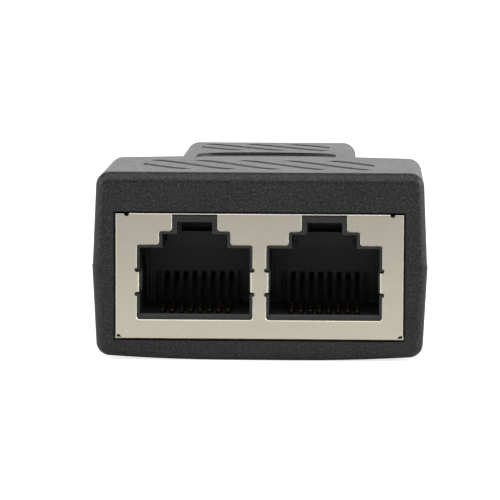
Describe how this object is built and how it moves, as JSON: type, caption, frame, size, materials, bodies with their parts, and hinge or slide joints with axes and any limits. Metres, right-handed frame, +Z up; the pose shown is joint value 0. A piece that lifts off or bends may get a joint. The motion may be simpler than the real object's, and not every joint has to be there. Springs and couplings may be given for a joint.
{
  "type": "rj45 splitter adapter",
  "caption": "T-shaped network splitter adapter: two shielded modular jacks side by side on the wide end share the line of the jack in the narrow end.",
  "frame": {"origin": "on the ground under the middle of the body's bounding box", "axes": "+Y from the two-port end to the single-port end, +Z up, latches upwards, +X to the right seen from the two-port end"},
  "size_m": [0.0362, 0.047, 0.0204],
  "materials": {
    "overmould": "fine pebbled black soft PVC, moulded over the jacks",
    "nickel_plate": "satin nickel-plated folded sheet",
    "jack_plastic": "black glass-filled thermoplastic",
    "contact_gold": "gold-plated spring wire",
    "laminate": "green solder mask on glass laminate"
  },
  "bodies": {
    "root": {"overmould_body": "overmould", "circuit_board": "laminate", "front_shield": "nickel_plate", "front_housing": "jack_plastic", "front_left_carrier": "jack_plastic", "front_right_carrier": "jack_plastic", "rear_shield": "nickel_plate", "rear_housing": "jack_plastic", "rear_carrier": "jack_plastic", "front_left_contact_1": "contact_gold", "front_left_contact_2": "contact_gold", "front_left_contact_3": "contact_gold", "front_left_contact_4": "contact_gold", "front_left_contact_5": "contact_gold", "front_left_contact_6": "contact_gold", "front_left_contact_7": "contact_gold", "front_left_contact_8": "contact_gold", "front_right_contact_1": "contact_gold", "front_right_contact_2": "contact_gold", "front_right_contact_3": "contact_gold", "front_right_contact_4": "contact_gold", "front_right_contact_5": "contact_gold", "front_right_contact_6": "contact_gold", "front_right_contact_7": "contact_gold", "front_right_contact_8": "contact_gold", "rear_contact_1": "contact_gold", "rear_contact_2": "contact_gold", "rear_contact_3": "contact_gold", "rear_contact_4": "contact_gold", "rear_contact_5": "contact_gold", "rear_contact_6": "contact_gold", "rear_contact_7": "contact_gold", "rear_contact_8": "contact_gold"}
  },
  "joints": []
}
